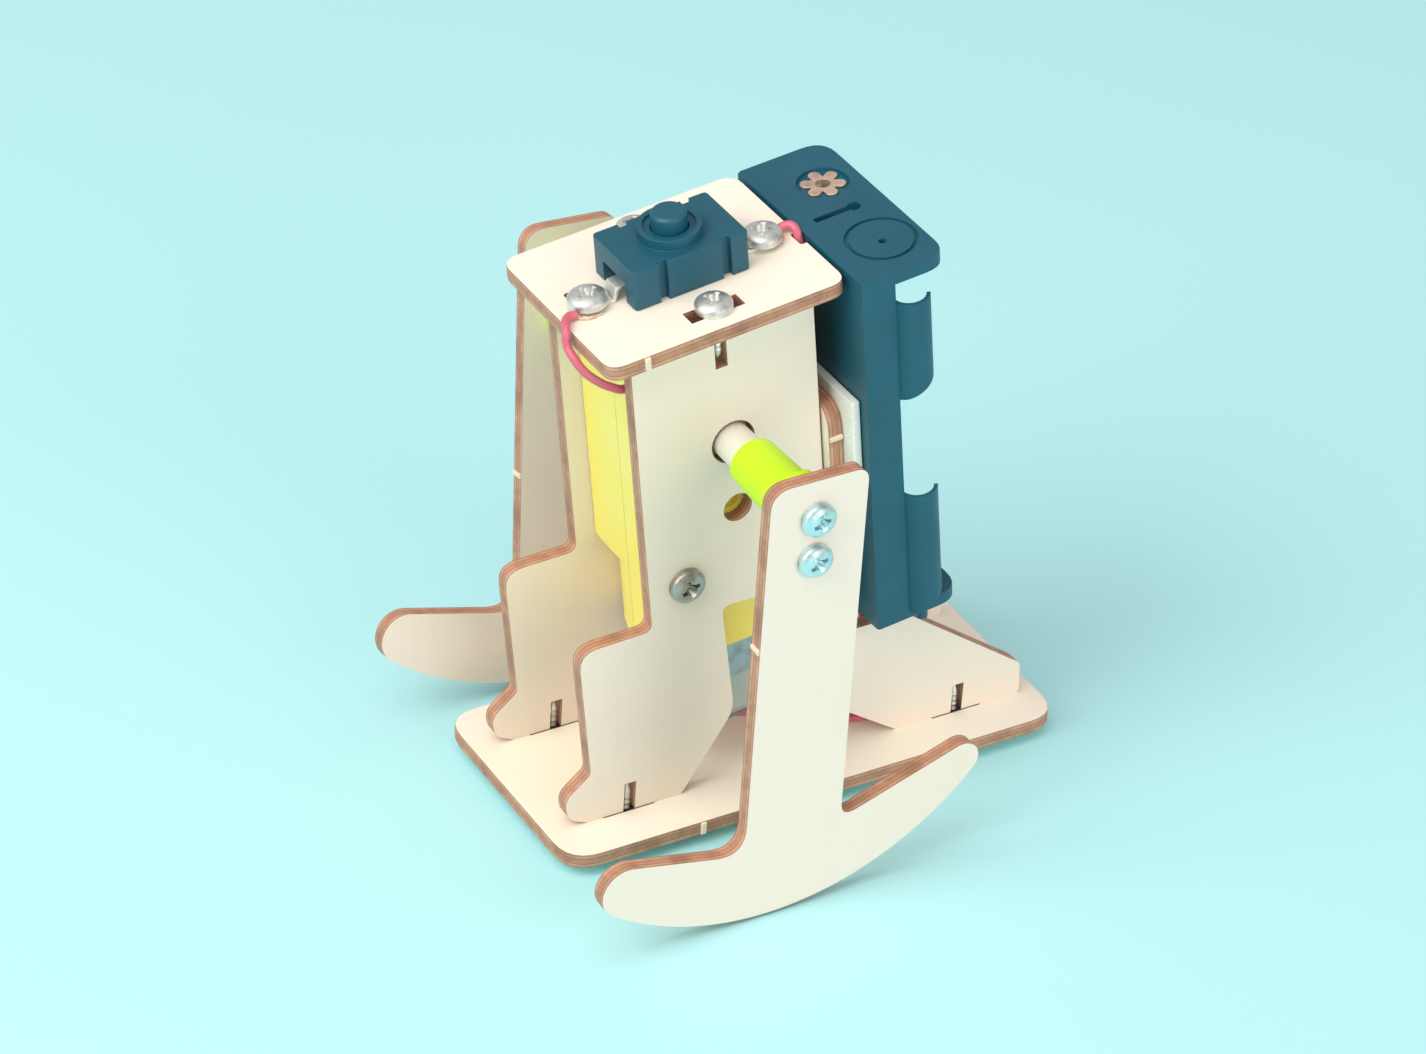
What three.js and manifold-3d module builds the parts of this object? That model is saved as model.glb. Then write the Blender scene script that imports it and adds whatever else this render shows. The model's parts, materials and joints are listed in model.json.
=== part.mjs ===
// A battery-powered walking robot kit: laser-cut plywood around a yellow gear motor that turns two
// rocker legs, with a push switch on top and an empty two-cell battery holder taped to its back.
//
// Units are millimetres. The origin is the centre of the base plate's underside. +Z is up, -Y is the
// way the toes point, and +X is the side of the left leg (the robot's own left).
// The torso (motor, deck, switch and holder) leans towards the toes about the drive shaft: its pieces
// are placed in a group whose own origin is the middle of the shaft and whose Z runs along the motor.
import * as THREE from "three";
import { mergeVertices } from "three/addons/utils/BufferGeometryUtils.js";
import Module from "manifold-3d";

const wasm = await Module();
wasm.setup();

// ---- Driving dimensions ----
const ply = 2.2; // plywood thickness
const fit = 0.1; // gap left between two pieces that touch

const base = { halfWidth: 18.5, halfLength: 39.85, corner: 5 };
const shaft = { y: -14.1, z: 59.4, radius: 2.7, halfLength: 21, flat: 1.85 };
const lean = THREE.MathUtils.degToRad(7.5); // forward lean of the torso

const gearbox = {
  halfWidth: 9.4, // X
  halfDepth: 11.25, // Y
  top: 11.3,
  foot: -25,
  collarEnd: -36.2,
  step: -29.3,
  wall: 1.5,
  bossRadius: 2.1,
};
const mountHole = { y: 8.75, z: -20.2, radius: 1.6 };
const locator = { z: -11, radius: 2.2 };

const panel = { inner: gearbox.halfWidth + fit, front: -14.3, rear: 13.3 };
panel.outer = panel.inner + ply;
panel.middle = (panel.inner + panel.outer) / 2;

const deck = { halfWidth: 15, front: -18.9, rear: 16.84, top: 21.45, corner: 2.5 };
deck.underside = deck.top - ply;

const slot = { width: 1.8, baseMortise: 2.36, deckMortise: 2.6, mortiseLength: 8 };
const footSlot = { front: -26.9, rear: 26.5, top: 6.9 };
const deckSlot = { y: -0.95, bottom: 12.6 };

const screw = { headRadius: 2.6, headHeight: 1.8, shankRadius: 0.75, crossWidth: 0.7, crossDepth: 0.9 };

const rearPlate = { halfWidth: 13.3, front: 13.6, bottom: -38.4, top: 0.3, tenonTop: -12, tenonLength: 8 };
const tape = {
  left: 15.9,
  right: -12,
  front: rearPlate.front + ply + fit,
  rear: 17.2,
  bottom: -12,
  top: 2,
};

const holder = {
  x: 1.6,
  halfWidth: 16.1,
  front: 17.3,
  rear: 30.7,
  bottom: -36.2,
  top: 21.9,
  floor: 1.6,
  wall: 1.3,
  end: 1.9,
  rim: 22.4,
  cellOffset: 7.8,
  cellY: 25.4,
};
// The springy lips along the holder's sides.
const clip = { inset: 1.05, y: 25.05, inner: 2.3, outer: 2.85 };
const eyelet = { x: -5.75, y: 25.45, hole: 1.5, barrel: 1.4, bore: 1.05, recess: 3.65 };
const ringMark = { x: 9.95, y: 25.05, outer: 5, inner: 4.4 };

const switchBox = { halfWidth: 5.6, y: -1.1, halfLength: 8.65, height: 6.1 };
const button = { radius: 2.5, flange: 3.4, top: 31.1 };
const terminalScrew = { front: { x: 0.8, y: -14.3 }, rear: { x: 1.3, y: 11.9 } };

const motor = { front: -28.6, end: -43, capEnd: -49, radius: 10, flat: 7.6, wall: 0.6 };

const hub = { inner: 17, flangeInner: 30.2, outer: 33.7, smallRadius: 3.6, largeRadius: 3.95, bore: 2.78 };
const legScrews = { y: -1.9, upper: 3.3, lower: -3.1 };

// Where each leg's inner face lies from the shaft's middle: the left leg stands true, and the right
// one leans inwards and is turned a little ahead.
const degrees = THREE.MathUtils.degToRad;
const legPlace = {
  left: { x: 33.8, y: 0, lean: 0, turn: 0 },
  right: { x: -32.5, y: 1.3, lean: degrees(8), turn: degrees(-3) },
};

// Gear train, motor to legs: 8 to 30, 10 to 32 and 10 to 40 teeth, 48 to 1 in all.
const outputStage = { module: 0.45, wheel: 40, pinion: 10 };
const middleStage = { module: 0.4, wheel: 32, pinion: 10 };
const crownStage = { module: 0.4, wheel: 30, pinion: 8 };
const middleAxle = -(outputStage.module * (outputStage.wheel + outputStage.pinion)) / 2;
const crownAxle = middleAxle - (middleStage.module * (middleStage.wheel + middleStage.pinion)) / 2;
const axleRadius = 0.75;

const wireRadius = 0.6;

// ---- Materials ----
function material(color, roughness, metalness = 0) {
  return new THREE.MeshStandardMaterial({ color, roughness, metalness });
}
const plywood = material(0xefe4c8, 0.7);
const yellowPlastic = material(0xf4df3a, 0.45);
const blackPlastic = material(0x1d2b31, 0.45);
const whitePlastic = material(0xf1efe6, 0.5);
const limePlastic = material(0xd4f01e, 0.4);
const clearPlastic = material(0xdfe8ea, 0.2);
const foam = material(0xf3f3ee, 0.9);
const steel = material(0xb9bec2, 0.3, 1);
const copper = material(0xc98a62, 0.35, 1);
const ferrite = material(0x45464a, 0.8);
const redInsulation = material(0xc8475a, 0.5);

// ---- Geometry helpers ----
const X = new THREE.Vector3(1, 0, 0);
const Y = new THREE.Vector3(0, 1, 0);
const Z = new THREE.Vector3(0, 0, 1);

function solid(geometry) {
  const bare = geometry.clone();
  bare.deleteAttribute("normal");
  bare.deleteAttribute("uv");
  const merged = mergeVertices(bare, 1e-4);
  const mesh = new wasm.Mesh({
    numProp: 3,
    vertProperties: merged.attributes.position.array,
    triVerts: new Uint32Array(merged.index.array),
  });
  return new wasm.Manifold(mesh);
}

function join(first, ...others) {
  return others.reduce((sum, other) => sum.add(other), first);
}

function cut(body, ...tools) {
  return tools.reduce((rest, tool) => rest.subtract(tool), body);
}

function geometryOf(body) {
  const mesh = body.getMesh();
  const geometry = new THREE.BufferGeometry();
  geometry.setAttribute("position", new THREE.BufferAttribute(mesh.vertProperties, 3));
  geometry.setIndex(new THREE.BufferAttribute(mesh.triVerts, 1));
  geometry.computeVertexNormals();
  return geometry;
}

function addPiece(group, name, body, finish) {
  const piece = new THREE.Mesh(geometryOf(body), finish);
  piece.name = name;
  group.add(piece);
}

function extrude(shape, depth, curveSegments = 6) {
  return new THREE.ExtrudeGeometry(shape, { depth, bevelEnabled: false, curveSegments });
}

// A shape drawn in Y and Z, from x0 to x1.
function prismX(shape, x0, x1, curveSegments) {
  const turn = new THREE.Matrix4().makeBasis(Y, Z, X);
  return solid(extrude(shape, x1 - x0, curveSegments).applyMatrix4(turn).translate(x0, 0, 0));
}

// A shape drawn in X and Z, from y0 to y1.
function prismY(shape, y0, y1, curveSegments) {
  const turn = new THREE.Matrix4().makeBasis(X, Z, Y.clone().negate());
  return solid(extrude(shape, y1 - y0, curveSegments).applyMatrix4(turn).translate(0, y1, 0));
}

// A shape drawn in X and Y, from z0 to z1.
function prismZ(shape, z0, z1, curveSegments) {
  return solid(extrude(shape, z1 - z0, curveSegments).translate(0, 0, z0));
}

function block(x0, x1, y0, y1, z0, z1) {
  const box = new THREE.BoxGeometry(x1 - x0, y1 - y0, z1 - z0);
  return solid(box.translate((x0 + x1) / 2, (y0 + y1) / 2, (z0 + z1) / 2));
}

function cylinderX(radius, x0, x1, y, z, segments = 24) {
  const bar = new THREE.CylinderGeometry(radius, radius, x1 - x0, segments).rotateZ(Math.PI / 2);
  return solid(bar.translate((x0 + x1) / 2, y, z));
}

function cylinderZ(radius, z0, z1, x, y, segments = 24) {
  const bar = new THREE.CylinderGeometry(radius, radius, z1 - z0, segments).rotateX(Math.PI / 2);
  return solid(bar.translate(x, y, (z0 + z1) / 2));
}

// A closed outline from corners [a, b, radius]; a corner without a radius is sharp.
function outline(corners) {
  const shape = new THREE.Shape();
  const points = corners.map(([a, b]) => new THREE.Vector2(a, b));
  corners.forEach(([, , radius = 0], i) => {
    const here = points[i];
    const before = points[(i + points.length - 1) % points.length];
    const after = points[(i + 1) % points.length];
    const start = here.clone().add(before.clone().sub(here).setLength(radius));
    const end = here.clone().add(after.clone().sub(here).setLength(radius));
    if (i === 0) shape.moveTo(start.x, start.y);
    else shape.lineTo(start.x, start.y);
    if (radius > 0) shape.quadraticCurveTo(here.x, here.y, end.x, end.y);
  });
  shape.closePath();
  return shape;
}

function rectangle(a0, a1, b0, b1, radius = 0) {
  return outline([
    [a0, b0, radius],
    [a1, b0, radius],
    [a1, b1, radius],
    [a0, b1, radius],
  ]);
}

// A place in the torso's Y and Z, in the part's own Y and Z.
function fromTorso(y, z) {
  return [
    shaft.y + y * Math.cos(lean) - z * Math.sin(lean),
    shaft.z + y * Math.sin(lean) + z * Math.cos(lean),
  ];
}

// A pan-head cross-recess screw along Z: its head stands on z = 0 and its shank goes down.
function screwBody(length) {
  const { headRadius, headHeight, shankRadius, crossWidth, crossDepth } = screw;
  const profile = [
    [0, -length],
    [shankRadius * 0.3, -length],
    [shankRadius, -length + 1],
    [shankRadius, 0],
    [headRadius, 0],
    [headRadius, headHeight * 0.4],
    [headRadius * 0.75, headHeight * 0.85],
    [headRadius * 0.35, headHeight],
    [0, headHeight],
  ].map(([r, z]) => new THREE.Vector2(r, z));
  const turned = solid(new THREE.LatheGeometry(profile, 14).rotateX(Math.PI / 2));
  const arm = headRadius * 0.6;
  const half = crossWidth / 2;
  const recess = headHeight - crossDepth;
  return cut(
    turned,
    block(-arm, arm, -half, half, recess, headHeight + 1),
    block(-half, half, -arm, arm, recess, headHeight + 1),
  );
}

// A screw whose head lies on the point (x, y, z) and faces along direction.
function placedScrew(length, x, y, z, direction) {
  const place = new THREE.Matrix4()
    .makeRotationFromQuaternion(new THREE.Quaternion().setFromUnitVectors(Z, direction))
    .setPosition(x, y, z);
  return screwBody(length).transform(place.elements);
}

// A round wire along a smooth curve through the given points.
function wireBody(route, stepLength = 2) {
  const curve = new THREE.CatmullRomCurve3(route.map((p) => new THREE.Vector3(...p)), false, "centripetal");
  const section = new THREE.Shape();
  const sides = 8;
  for (let i = 0; i < sides; i++) {
    const angle = (2 * Math.PI * i) / sides;
    const place = [wireRadius * Math.cos(angle), wireRadius * Math.sin(angle)];
    if (i === 0) section.moveTo(...place);
    else section.lineTo(...place);
  }
  section.closePath();
  const steps = Math.min(80, Math.round(curve.getLength() / stepLength));
  return solid(new THREE.ExtrudeGeometry(section, { steps, extrudePath: curve, bevelEnabled: false }));
}

// A coil of round wire around Z from z0 to z1, whose radius goes from r0 to r1.
function coilBody({ x, y, z0, z1, r0, r1, turns, wire }) {
  class Helix extends THREE.Curve {
    getPoint(t) {
      const angle = 2 * Math.PI * turns * t;
      const radius = r0 + (r1 - r0) * t;
      const height = z0 + (z1 - z0) * t;
      return new THREE.Vector3(x + radius * Math.cos(angle), y + radius * Math.sin(angle), height);
    }
  }
  const section = new THREE.Shape();
  section.moveTo(wire, 0);
  section.lineTo(0, wire);
  section.lineTo(-wire, 0);
  section.lineTo(0, -wire);
  section.closePath();
  const options = { steps: turns * 12, extrudePath: new Helix(), bevelEnabled: false };
  return solid(new THREE.ExtrudeGeometry(section, options));
}

// ---- Plywood ----
function basePlate() {
  const { halfWidth, halfLength, corner } = base;
  const plate = prismZ(rectangle(-halfWidth, halfWidth, -halfLength, halfLength, corner), 0, ply);
  const mortises = [-1, 1].flatMap((side) =>
    [footSlot.front, footSlot.rear].map((y) => mortise(side, y, slot.baseMortise)),
  );
  return cut(plate, ...mortises.map((shape) => prismZ(shape, -1, ply + 1)));
}

function mortise(side, y, width) {
  const x = side * panel.middle;
  const halfWidth = width / 2;
  const halfLength = slot.mortiseLength / 2;
  return rectangle(x - halfWidth, x + halfWidth, y - halfLength, y + halfLength);
}

// The outline of a side panel: a torso that leans forward over a front leg and a rear leg.
function panelOutline() {
  const torso = (y, z, radius) => [...fromTorso(y, z), radius];
  const tenonBottom = rearPlate.tenonTop - rearPlate.tenonLength;
  const tenonTip = rearPlate.front + ply - 0.2;
  return outline([
    torso(panel.front, deck.underside - fit, 0),
    torso(panel.front, -26, 1.5),
    [-36.2, 31.3, 3],
    [-33.3, 10.3, 0.8],
    [-37.2, 7, 1.5],
    [-36.6, 3.6, 1.5],
    [-33.6, ply, 0.5],
    [-18.6, ply, 0],
    [-10.9, 14.4, 2],
    [-14.1, 32.6, 1.5],
    [-1, 32.6, 1.5],
    [-1, 14, 2],
    [16.3, ply, 0],
    [37.2, ply, 0.5],
    [36.9, 7.4, 0.8],
    [16.4, 22.2, 1.5],
    torso(panel.rear, -39.3, 0.6),
    torso(panel.rear, tenonBottom, 0),
    torso(tenonTip, tenonBottom, 0),
    torso(tenonTip, rearPlate.tenonTop, 0),
    torso(panel.rear, rearPlate.tenonTop, 0),
    torso(panel.rear, deck.underside - fit, 0),
  ]);
}

function sidePanel(side) {
  const [x0, x1] = side > 0 ? [panel.inner, panel.outer] : [-panel.outer, -panel.inner];
  const board = prismX(panelOutline(), x0, x1, 4);
  const bore = (y, z, radius, segments) => cylinderX(radius, x0 - 1, x1 + 1, ...fromTorso(y, z), segments);
  const half = slot.width / 2;
  const footSlots = [footSlot.front, footSlot.rear].map((y) =>
    block(x0 - 1, x1 + 1, y - half, y + half, 0, footSlot.top),
  );
  const deckCut = outline([
    fromTorso(deckSlot.y - half, deckSlot.bottom),
    fromTorso(deckSlot.y + half, deckSlot.bottom),
    fromTorso(deckSlot.y + half, deck.top),
    fromTorso(deckSlot.y - half, deck.top),
  ]);
  return cut(
    board,
    bore(0, 0, 3.3, 24),
    bore(0, locator.z, locator.radius, 20),
    bore(mountHole.y, mountHole.z, mountHole.radius, 14),
    bore(-mountHole.y, mountHole.z, mountHole.radius, 14),
    prismX(deckCut, x0 - 1, x1 + 1),
    ...footSlots,
  );
}

function deckPlate() {
  const { halfWidth, front, rear, top, underside, corner } = deck;
  const plate = prismZ(rectangle(-halfWidth, halfWidth, front, rear, corner), underside, top);
  const wireNotch = rectangle(1.7, 4.5, rear - 0.94, rear + 1, 0.4);
  const drilled = (radius, x, y) => cylinderZ(radius, underside - 1, top + 1, x, y, 12);
  return cut(
    plate,
    prismZ(mortise(1, deckSlot.y, slot.deckMortise), underside - 1, top + 1),
    prismZ(mortise(-1, deckSlot.y, slot.deckMortise), underside - 1, top + 1),
    prismZ(wireNotch, underside - 1, top + 1),
    drilled(0.9, terminalScrew.front.x, terminalScrew.front.y),
    drilled(0.9, terminalScrew.rear.x, terminalScrew.rear.y),
    drilled(0.6, -2.9, -15.2),
  );
}

function rearBoard() {
  const { halfWidth, front, bottom, top, tenonTop, tenonLength } = rearPlate;
  const shape = outline([
    [-halfWidth, bottom, 1],
    [halfWidth, bottom, 1],
    [halfWidth, top, 3.5],
    [-halfWidth, top, 3.5],
  ]);
  const mortises = [-1, 1].map((side) => {
    const x = side * panel.middle;
    const half = ply / 2 + fit;
    const tenonBottom = tenonTop - tenonLength;
    return block(x - half, x + half, front - 1, front + ply + 1, tenonBottom - fit, tenonTop + fit);
  });
  return cut(prismY(shape, front, front + ply), ...mortises);
}

function tapePad() {
  return block(tape.right, tape.left, tape.front, tape.rear, tape.bottom, tape.top);
}

// The leg is drawn about the shaft: a strip down to a crescent foot that rocks on a circular sole.
function legOutline() {
  const sole = { y: -4.6, z: -18.8, radius: 41.9 };
  const toe = { angle: 234, radius: 3.8, tangent: 78.5 };
  const heel = { angle: 319, radius: 2.7, tangent: 108.8 };
  const tip = ({ angle, radius }) => [
    sole.y + (sole.radius - radius) * Math.cos(degrees(angle)),
    sole.z + (sole.radius - radius) * Math.sin(degrees(angle)),
  ];
  const shape = new THREE.Shape();
  shape.absarc(...tip(toe), toe.radius, degrees(toe.tangent), degrees(toe.angle), false);
  shape.absarc(sole.y, sole.z, sole.radius, degrees(toe.angle), degrees(heel.angle), false);
  shape.absarc(...tip(heel), heel.radius, degrees(heel.angle), degrees(heel.tangent + 360), false);
  shape.lineTo(8.4, -47.3);
  shape.quadraticCurveTo(5.9, -48.1, 5.9, -45.6);
  shape.lineTo(5.7, 6.8);
  shape.quadraticCurveTo(5.7, 9, 3.5, 9);
  shape.lineTo(-5.8, 9);
  shape.quadraticCurveTo(-9, 9, -9, 5.8);
  shape.lineTo(-9, -44.6);
  shape.quadraticCurveTo(-9, -49.5, -13.5, -48.6);
  shape.closePath();
  return shape;
}

// The leg board from x = 0 outwards along side, with holes for its two screws.
function legBoard(side) {
  const [x0, x1] = side > 0 ? [0, ply] : [-ply, 0];
  const holes = [legScrews.upper, legScrews.lower].map((z) =>
    cylinderX(1.1, x0 - 1, x1 + 1, legScrews.y, z, 12),
  );
  return cut(prismX(legOutline(), x0, x1, 20), ...holes);
}

// ---- Gear motor ----
function gearboxShell(side) {
  const { halfWidth, halfDepth, top, foot, collarEnd, step, wall, bossRadius } = gearbox;
  const main = prismX(rectangle(-halfDepth, halfDepth, foot, top, 1.2), -halfWidth, halfWidth, 3);
  const round = cylinderZ(halfDepth, collarEnd, foot + 1, 0, 0, 32);
  const collar = join(
    round.intersect(block(-halfWidth, halfWidth, -20, 20, step, foot + 1)),
    round.intersect(block(0.5 - halfWidth, halfWidth - 0.5, -20, 20, collarEnd, step + 0.5)),
  );
  const tab = cut(
    prismX(rectangle(-2.5, 2.5, top - 1, top + 5, 1.2), -1.25, 1.25, 3),
    cylinderX(1.5, -2, 2, 0, top + 2.5, 14),
  );
  const boss = (y) => cylinderX(bossRadius, -halfWidth, halfWidth, y, mountHole.z, 14);
  const chamber = cut(
    block(wall - halfWidth, halfWidth - wall, wall - halfDepth, halfDepth - wall, -23.5, top - wall),
    boss(mountHole.y),
    boss(-mountHole.y),
  );
  const throat = block(-6.5, 6.5, -5.5, 5.5, motor.front, -23);
  const bores = [
    cylinderX(hub.bore, -halfWidth - 1, halfWidth + 1, 0, 0, 24),
    cylinderX(1.5, halfWidth - 1, halfWidth + 1, 0, locator.z, 12),
    cylinderX(axleRadius + 0.05, -8.5, 8.5, 0, middleAxle, 12),
    cylinderX(axleRadius + 0.05, -8.5, 8.5, 0, crownAxle, 12),
    cylinderX(0.9, -halfWidth - 1, 4 - halfWidth, mountHole.y, mountHole.z, 12),
    cylinderX(0.9, -halfWidth - 1, 4 - halfWidth, -mountHole.y, mountHole.z, 12),
    cylinderX(0.9, halfWidth - 4, halfWidth + 1, mountHole.y, mountHole.z, 12),
    cylinderX(0.9, halfWidth - 4, halfWidth + 1, -mountHole.y, mountHole.z, 12),
  ];
  const half = side > 0 ? block(fit / 2, 20, -20, 20, -60, 40) : block(-20, -fit / 2, -20, 20, -60, 40);
  const canSeat = canSolid(motor.radius + fit, motor.flat + fit);
  const whole = cut(join(main, collar), chamber, throat, canSeat, ...bores);
  return side > 0 ? join(whole, tab).intersect(half) : whole.intersect(half);
}

// The motor's outside: a cylinder with two flats, as a plug from its front face down.
function canSolid(radius, flat) {
  return cylinderZ(radius, motor.capEnd, motor.front + 0.05, 0, 0, 32).intersect(
    block(-flat, flat, -20, 20, -60, 0),
  );
}

function motorCan() {
  const { front, end, radius, flat, wall } = motor;
  const outside = canSolid(radius, flat).intersect(block(-20, 20, -20, 20, end, front));
  const inside = canSolid(radius - wall, flat - wall).intersect(
    block(-20, 20, -20, 20, end - 1, front - wall),
  );
  return cut(outside, inside, cylinderZ(1.2, front - 2, front + 2, 0, 0, 12));
}

function motorEndCap() {
  const { end, capEnd, radius, flat } = motor;
  const cap = cylinderZ(radius - 0.4, capEnd, end - fit, 0, 0, 28).intersect(
    block(0.2 - flat, flat - 0.2, -20, 20, -60, 0),
  );
  return cut(
    cap,
    cylinderZ(1.1, end - 4.5, end + 1, 0, 0, 12),
    cylinderZ(2.6, end - 3.2, end + 1, 0, 0, 16),
    block(-1.5, 1.5, -5.4, -4.6, capEnd - 1, capEnd + 2),
    block(-1.5, 1.5, 4.6, 5.4, capEnd - 1, capEnd + 2),
  );
}

function motorTerminal(side) {
  const y = side * 5;
  const tag = block(-1.3, 1.3, y - 0.3, y + 0.3, motor.capEnd - 3, motor.capEnd + 1.8);
  const eye = new THREE.CylinderGeometry(0.5, 0.5, 4, 8).translate(0, y, motor.capEnd - 2);
  return cut(tag, solid(eye));
}

// The armature: a laminated rotor, a commutator and the motor's shaft.
function armature() {
  const lamination = new THREE.Shape();
  const poles = 3;
  const slotHalf = THREE.MathUtils.degToRad(9);
  for (let i = 0; i < poles; i++) {
    const start = (2 * Math.PI * i) / poles + slotHalf;
    const end = (2 * Math.PI * (i + 1)) / poles - slotHalf;
    lamination.absarc(0, 0, 6.5, start, end, false);
    lamination.lineTo(2.6 * Math.cos(end + slotHalf), 2.6 * Math.sin(end + slotHalf));
  }
  return join(
    prismZ(lamination, -40.4, -31.4, 5),
    cylinderZ(2.2, -45.6, -40.2, 0, 0, 16),
    cylinderZ(1, -47.2, -24.4, 0, 0, 12),
  );
}

function magnet(side) {
  const ring = cut(cylinderZ(9.2, -41.6, -30, 0, 0, 32), cylinderZ(7.2, -42, -29, 0, 0, 32));
  return ring.intersect(side > 0 ? block(-5, 5, 4, 12, -50, -20) : block(-5, 5, -12, -4, -50, -20));
}

// A clear strap that hooks over the collar and runs down both flats and under the end cap.
function motorStrap() {
  const { flat, capEnd } = motor;
  const near = flat + 0.15;
  const far = near + 0.5;
  const below = capEnd - 0.15;
  const shape = outline([
    [-far, gearbox.collarEnd - 0.3],
    [-far, below - 0.5],
    [far, below - 0.5],
    [far, gearbox.collarEnd - 0.3],
    [near, gearbox.collarEnd - 0.3],
    [near, below],
    [-near, below],
    [-near, gearbox.collarEnd - 0.3],
  ]);
  return prismY(shape, -2.6, 2.6);
}

// ---- Gears ----
// A spur gear's outline in Y and Z about its own centre, with a tooth on the +Y axis.
function gearOutline({ module: size, teeth, tip = 0.8, root = 1.15 }) {
  const shape = new THREE.Shape();
  const pitchRadius = (size * teeth) / 2;
  const tipRadius = pitchRadius + tip * size;
  const rootRadius = pitchRadius - root * size;
  const pitchAngle = (2 * Math.PI) / teeth;
  const corner = (radius, angle) => [radius * Math.cos(angle), radius * Math.sin(angle)];
  for (let i = 0; i < teeth; i++) {
    const middle = i * pitchAngle;
    if (i === 0) shape.moveTo(...corner(rootRadius, middle - 0.27 * pitchAngle));
    else shape.lineTo(...corner(rootRadius, middle - 0.27 * pitchAngle));
    shape.lineTo(...corner(tipRadius, middle - 0.11 * pitchAngle));
    shape.lineTo(...corner(tipRadius, middle + 0.11 * pitchAngle));
    shape.lineTo(...corner(rootRadius, middle + 0.27 * pitchAngle));
  }
  shape.closePath();
  return shape;
}

function outputShaft() {
  const { radius, halfLength, flat } = shaft;
  const bar = cylinderX(radius, -halfLength, halfLength, 0, 0, 24);
  const flats = [-1, 1].flatMap((end) => {
    const [x0, x1] = end > 0 ? [hub.inner - 0.3, 30] : [-30, 0.3 - hub.inner];
    return [block(x0, x1, -5, 5, flat, 5), block(x0, x1, -5, 5, -5, -flat)];
  });
  const gear = prismX(gearOutline({ module: outputStage.module, teeth: outputStage.wheel }), -7.2, -3.2);
  return join(cut(bar, ...flats), gear);
}

function middleGear() {
  const small = prismX(gearOutline({ module: outputStage.module, teeth: outputStage.pinion }), -7.2, -2.4);
  const large = prismX(gearOutline({ module: middleStage.module, teeth: middleStage.wheel }), -2.6, 0.2);
  return cut(join(small, large), cylinderX(axleRadius + 0.08, -9, 9, 0, 0, 12));
}

function crownGear() {
  const { module: size, wheel } = crownStage;
  const pitchRadius = (size * wheel) / 2;
  const small = prismX(gearOutline({ module: middleStage.module, teeth: middleStage.pinion }), -2.6, 0.6);
  const barrel = cylinderX(1.5, 0.4, 2.5, 0, 0, 16);
  const disc = cylinderX(pitchRadius + 0.45, 2.3, 3.9, 0, 0, 30);
  const teeth = [];
  for (let i = 0; i < wheel; i++) {
    const tooth = new THREE.BoxGeometry(1.1, 1.3, 0.5).translate(1.85, pitchRadius - 0.2, 0);
    teeth.push(solid(tooth.rotateX((2 * Math.PI * i) / wheel)));
  }
  return cut(join(small, barrel, disc, ...teeth), cylinderX(axleRadius + 0.08, -9, 9, 0, 0, 12));
}

function motorPinion() {
  const gear = gearOutline({ module: crownStage.module, teeth: crownStage.pinion, root: 1.2 });
  return cut(prismZ(gear, -28.2, -24.4), cylinderZ(1.03, -30, -23, 0, 0, 12));
}

// ---- Legs' couplings ----
// The coupling pushes onto the shaft's end and carries the leg on its flange, whose face is cut to
// the plane that the leg is mounted in.
function hubBody(side, mount) {
  const { inner, flangeInner, outer, smallRadius, largeRadius, bore } = hub;
  const profile = [
    [0, inner],
    [smallRadius, inner],
    [largeRadius, flangeInner - 1.5],
    [largeRadius + 1, flangeInner],
    [largeRadius + 1, outer],
    [0, outer],
  ].map(([r, x]) => new THREE.Vector2(r, x));
  const turned = solid(new THREE.LatheGeometry(profile, 24).rotateZ(-Math.PI / 2));
  const flange = prismX(rectangle(-4.3, 1.2, -7.4, 6.9, 2.5), flangeInner, outer);
  const socket = cylinderX(bore, inner - 1, shaft.halfLength + 0.5, 0, 0, 24);
  const whole = cut(join(turned, flange), socket);
  const facing = side > 0 ? whole : whole.mirror([1, 0, 0]);
  const inMount = (tool) => tool.transform(mount.matrix.elements);
  const beyond = side > 0 ? block(-fit, 12, -20, 20, -20, 20) : block(-12, fit, -20, 20, -20, 20);
  const holes = [legScrews.upper, legScrews.lower].map((z) => cylinderX(1.15, -6, 6, legScrews.y, z, 12));
  return cut(facing, inMount(beyond), ...holes.map(inMount));
}

// ---- Switch ----
function switchBody() {
  const { halfWidth, y, halfLength, height } = switchBox;
  const floor = deck.top + fit;
  const top = deck.top + height;
  const box = prismZ(rectangle(-halfWidth, halfWidth, y - halfLength, y + halfLength, 0.6), floor, top, 3);
  const collar = cylinderZ(4.4, top - 0.5, top + 1.5, 0, y, 28);
  const dish = cylinderZ(3.6, top + 1.1, top + 2, 0, y, 24);
  const grooves = [-1, 1].flatMap((side) =>
    [-4.2, 5.3].map((offset) => {
      const [x0, x1] = side > 0 ? [halfWidth - 0.8, 9] : [-9, 0.8 - halfWidth];
      return block(x0, x1, y + offset - 0.65, y + offset + 0.65, floor - 1, top + 0.1);
    }),
  );
  const notches = [-1, 1].map((end) => {
    const edge = y + end * halfLength;
    const [y0, y1] = end > 0 ? [edge - 1.6, edge + 1] : [edge - 1, edge + 1.6];
    return block(-3, 3, y0, y1, floor - 1, floor + 3.1);
  });
  return cut(
    join(box, collar),
    dish,
    cylinderZ(button.radius + 0.1, top - 3, top + 2, 0, y, 20),
    cylinderZ(button.flange + 0.5, floor + 0.5, top - 1.4, 0, y, 20),
    ...grooves,
    ...notches,
  );
}

function switchButton() {
  const { radius, flange, top } = button;
  const profile = [
    [0, 25.2],
    [flange, 25.2],
    [flange, 26],
    [radius, 26],
    [radius, top - 0.4],
    [radius - 0.4, top],
    [0, top],
  ].map(([r, z]) => new THREE.Vector2(r, z));
  const turned = new THREE.LatheGeometry(profile, 20).rotateX(Math.PI / 2).translate(0, switchBox.y, 0);
  return solid(turned);
}

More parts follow.
